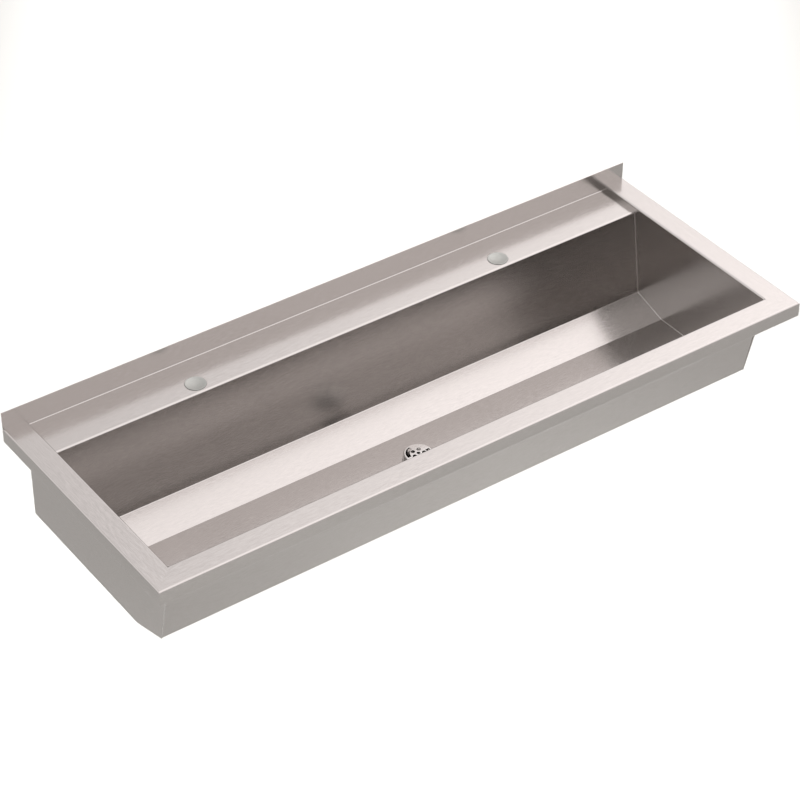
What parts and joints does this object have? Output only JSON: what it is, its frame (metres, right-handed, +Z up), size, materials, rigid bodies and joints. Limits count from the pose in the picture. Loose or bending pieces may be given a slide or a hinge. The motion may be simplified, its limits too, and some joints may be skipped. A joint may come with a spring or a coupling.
{
  "type": "wall-hung trough sink",
  "caption": "Wall-hung stainless steel wash trough with a flat rim, sunk tap ledge, low upstand, wall brackets and a raised lift-out strainer.",
  "frame": {"origin": "middle of the four wall fixings, on the wall plane", "axes": "+X along the trough to the right as a user facing the wall sees it, +Y into the wall, +Z up"},
  "size_m": [1.2, 0.45, 0.269],
  "materials": {
    "bowl_steel": "satin, grain along the length",
    "end_steel": "satin, grain from front to back",
    "ledge_steel": "satin, grain along the length",
    "blank_steel": "fine matt blasted",
    "strainer_steel": "bright polished stainless steel",
    "waste_steel": "bright turned",
    "screw_steel": "bright",
    "stud_steel": "bright drawn",
    "bracket_zinc": "galvanised",
    "fastener_zinc": "bright zinc plated",
    "waste_plastic": "moulded, off-white",
    "seal": "moulded rubber",
    "pad": "bitumen felt"
  },
  "bodies": {
    "trough": {"bowl_sheet": "bowl_steel", "end_panel_left": "end_steel", "end_panel_right": "end_steel", "tap_ledge": "ledge_steel", "tap_hole_blanks": "blank_steel", "damping_pads": "pad", "bracket_left": "bracket_zinc", "bracket_right": "bracket_zinc", "bracket_studs": "stud_steel", "bracket_washers": "fastener_zinc", "bracket_nuts": "fastener_zinc", "waste_flange": "waste_steel", "flange_seal": "seal", "waste_screw": "screw_steel", "body_seal": "seal", "waste_body": "waste_plastic", "earth_lug": "end_steel", "earth_screw": "fastener_zinc", "earth_nut": "fastener_zinc"},
    "strainer": {"strainer": "strainer_steel"}
  },
  "joints": [
    {"name": "strainer_lift", "type": "slide", "parent": "trough", "child": "strainer", "axis": [0, 0, 1], "range_m": [0, 0.06]}
  ]
}
